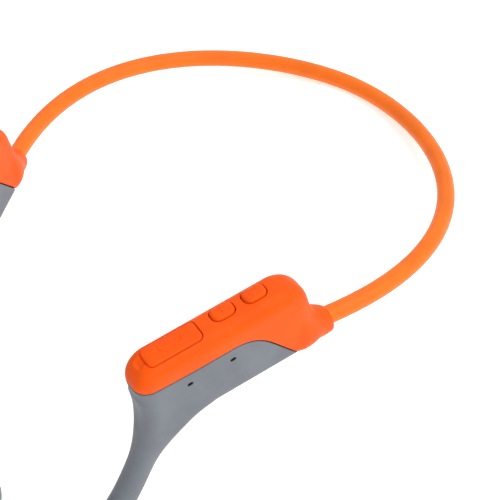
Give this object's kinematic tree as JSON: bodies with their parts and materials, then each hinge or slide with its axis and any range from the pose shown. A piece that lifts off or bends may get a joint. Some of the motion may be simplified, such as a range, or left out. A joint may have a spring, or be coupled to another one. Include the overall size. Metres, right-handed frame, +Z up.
{
  "type": "bone conduction headphones",
  "caption": "Wraparound bone conduction headphones: sprung silicone neckband, pods behind the ears, over-ear hooks and cheekbone transducers, with volume keys and a covered charging socket.",
  "frame": {"origin": "centre of the bounding box on the table it stands on, resting on the lowest points of both ear hooks and the back of the neckband", "axes": "+X towards the wearer's right side, +Y towards the back of the neckband, +Z up, away from the table"},
  "size_m": [0.1076, 0.1618, 0.0535],
  "materials": {
    "orange_shell": "soft-touch matte",
    "band_silicone": "matte silicone",
    "grey_shell": "soft-touch matte",
    "dark_rubber": "matte",
    "seal": "matte",
    "black_plastic": "moulded",
    "circuit_board": "solder mask",
    "steel_parts": "plain",
    "sprung_wire": "drawn wire",
    "cable_jacket": "smooth",
    "copper_coil": "enamelled copper winding",
    "gold_parts": "plated",
    "magnet_nickel": "nickel plated",
    "battery_foil": "laminated foil",
    "white_foam": "foam and ceramic",
    "mesh_cloth": "fine woven mesh"
  },
  "bodies": {
    "neckband": {"neckband_sleeve": "band_silicone", "neckband_wire": "sprung_wire", "neckband_cable": "cable_jacket"},
    "right_side": {"right_top_cover": "orange_shell", "right_lower_shell": "grey_shell", "right_cover_seal": "seal", "right_frame": "black_plastic", "right_wire_crimp": "steel_parts", "right_circuit_board": "circuit_board", "bluetooth_chip": "black_plastic", "antenna_block": "white_foam", "right_board_screws": "steel_parts", "usb_socket": "steel_parts", "usb_contact_tongue": "black_plastic", "usb_cover_tether": "dark_rubber", "plus_switch": "black_plastic", "minus_switch": "black_plastic", "front_microphone": "gold_parts", "rear_microphone": "gold_parts", "microphone_meshes": "mesh_cloth", "right_hook_wire": "sprung_wire", "right_hook_cable": "cable_jacket", "right_transducer_shell": "grey_shell", "right_transducer_pad": "dark_rubber", "right_exciter_yoke": "steel_parts", "right_exciter_magnet": "magnet_nickel", "right_exciter_coil": "copper_coil", "right_exciter_spring": "gold_parts"},
    "left_side": {"left_top_cover": "orange_shell", "left_lower_shell": "grey_shell", "left_cover_seal": "seal", "left_frame": "black_plastic", "left_wire_crimp": "steel_parts", "battery": "battery_foil", "battery_foam": "white_foam", "left_circuit_board": "circuit_board", "left_board_screws": "steel_parts", "left_hook_wire": "sprung_wire", "left_hook_cable": "cable_jacket", "left_transducer_shell": "grey_shell", "left_transducer_pad": "dark_rubber", "left_exciter_yoke": "steel_parts", "left_exciter_magnet": "magnet_nickel", "left_exciter_coil": "copper_coil", "left_exciter_spring": "gold_parts", "call_switch": "black_plastic"},
    "charging_cover": {"usb_cover": "orange_shell", "usb_cover_plug": "dark_rubber"},
    "plus_key": {"plus_button": "orange_shell"},
    "minus_key": {"minus_button": "orange_shell"},
    "call_key": {"call_button": "orange_shell"}
  },
  "joints": [
    {"name": "right_spread", "type": "hinge", "parent": "neckband", "child": "right_side", "pos_m": [0.04, 0.06489, 0.00744], "axis": [0, 0, 1], "range_deg": [-2, 20], "stiffness_Nm_per_rad": 0.35, "deforming": ["neckband_sleeve", "neckband_wire", "neckband_cable"]},
    {"name": "left_spread", "type": "hinge", "parent": "neckband", "child": "left_side", "pos_m": [-0.04, 0.06489, 0.00744], "axis": [0, 0, -1], "range_deg": [-2, 20], "stiffness_Nm_per_rad": 0.35, "deforming": ["neckband_sleeve", "neckband_wire", "neckband_cable"]},
    {"name": "charging_cover_flap", "type": "hinge", "parent": "right_side", "child": "charging_cover", "pos_m": [0.03596, -0.01792, 0.04488], "axis": [-0.9367, 0.3484, -0.0357], "range_deg": [0, 110], "stiffness_Nm_per_rad": 0.002, "deforming": ["usb_cover_tether"]},
    {"name": "plus_press", "type": "slide", "parent": "right_side", "child": "plus_key", "axis": [0, -0.1019, -0.9948], "range_m": [0, 0.0004], "stiffness_N_per_m": 3000},
    {"name": "minus_press", "type": "slide", "parent": "right_side", "child": "minus_key", "axis": [0, -0.1019, -0.9948], "range_m": [0, 0.0004], "stiffness_N_per_m": 3000},
    {"name": "call_press", "type": "slide", "parent": "left_side", "child": "call_key", "axis": [0.9833, 0.1813, -0.0186], "range_m": [0, 0.0004], "stiffness_N_per_m": 3000}
  ]
}
